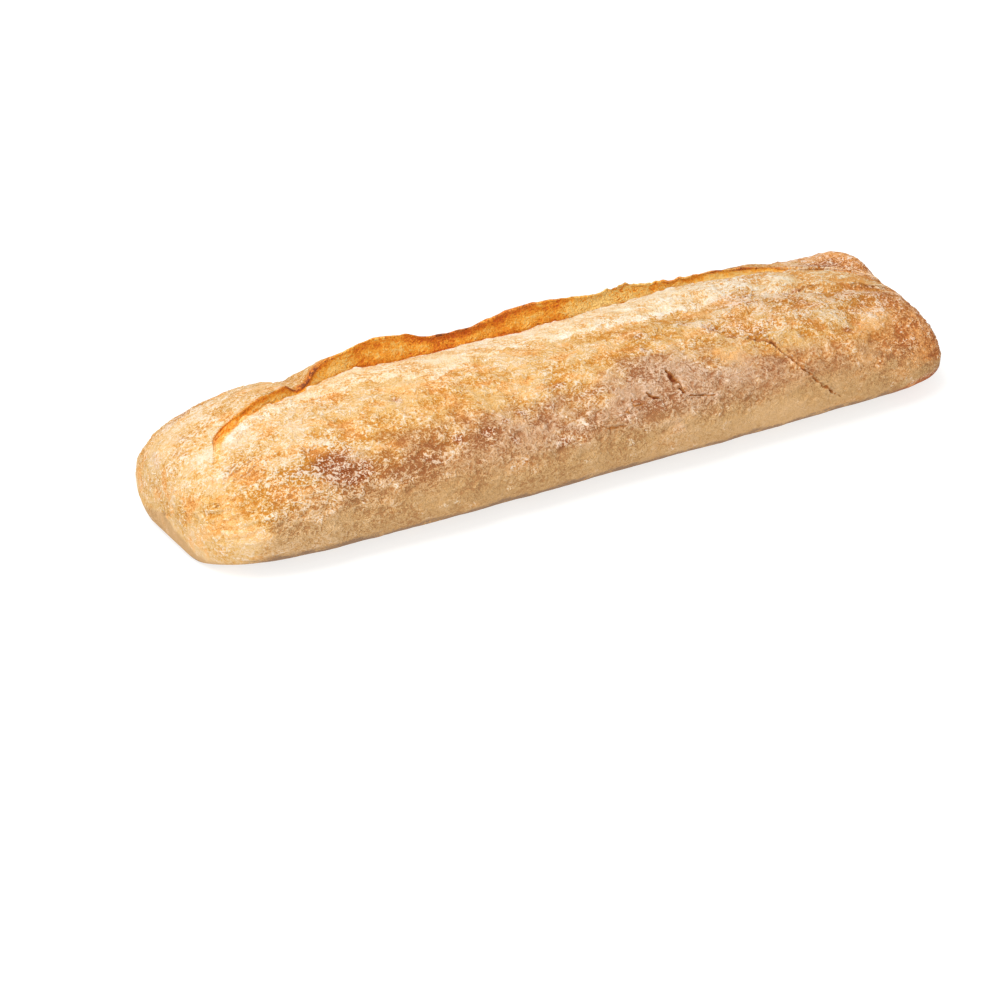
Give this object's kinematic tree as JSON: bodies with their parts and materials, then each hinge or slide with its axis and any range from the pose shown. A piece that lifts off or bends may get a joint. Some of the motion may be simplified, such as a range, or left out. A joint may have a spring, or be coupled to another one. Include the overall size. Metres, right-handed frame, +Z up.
{
  "type": "batard",
  "caption": "Whole long batard loaf with blunt rounded ends, a long slash with a lifted ear beside a floury bloom, and a flat base to rest on.",
  "frame": {"origin": "middle of the flat base, under the centre of the loaf's box", "axes": "+X along the loaf to the end where the slash reaches the far side, +Y to the ear's side, +Z up from the surface it rests on"},
  "size_m": [0.34, 0.1006, 0.0519],
  "materials": {
    "crust": "dry baked crust, matte and floured, with a slight shine on the torn face of the ear"
  },
  "bodies": {
    "root": {"batard_loaf": "crust"}
  },
  "joints": []
}
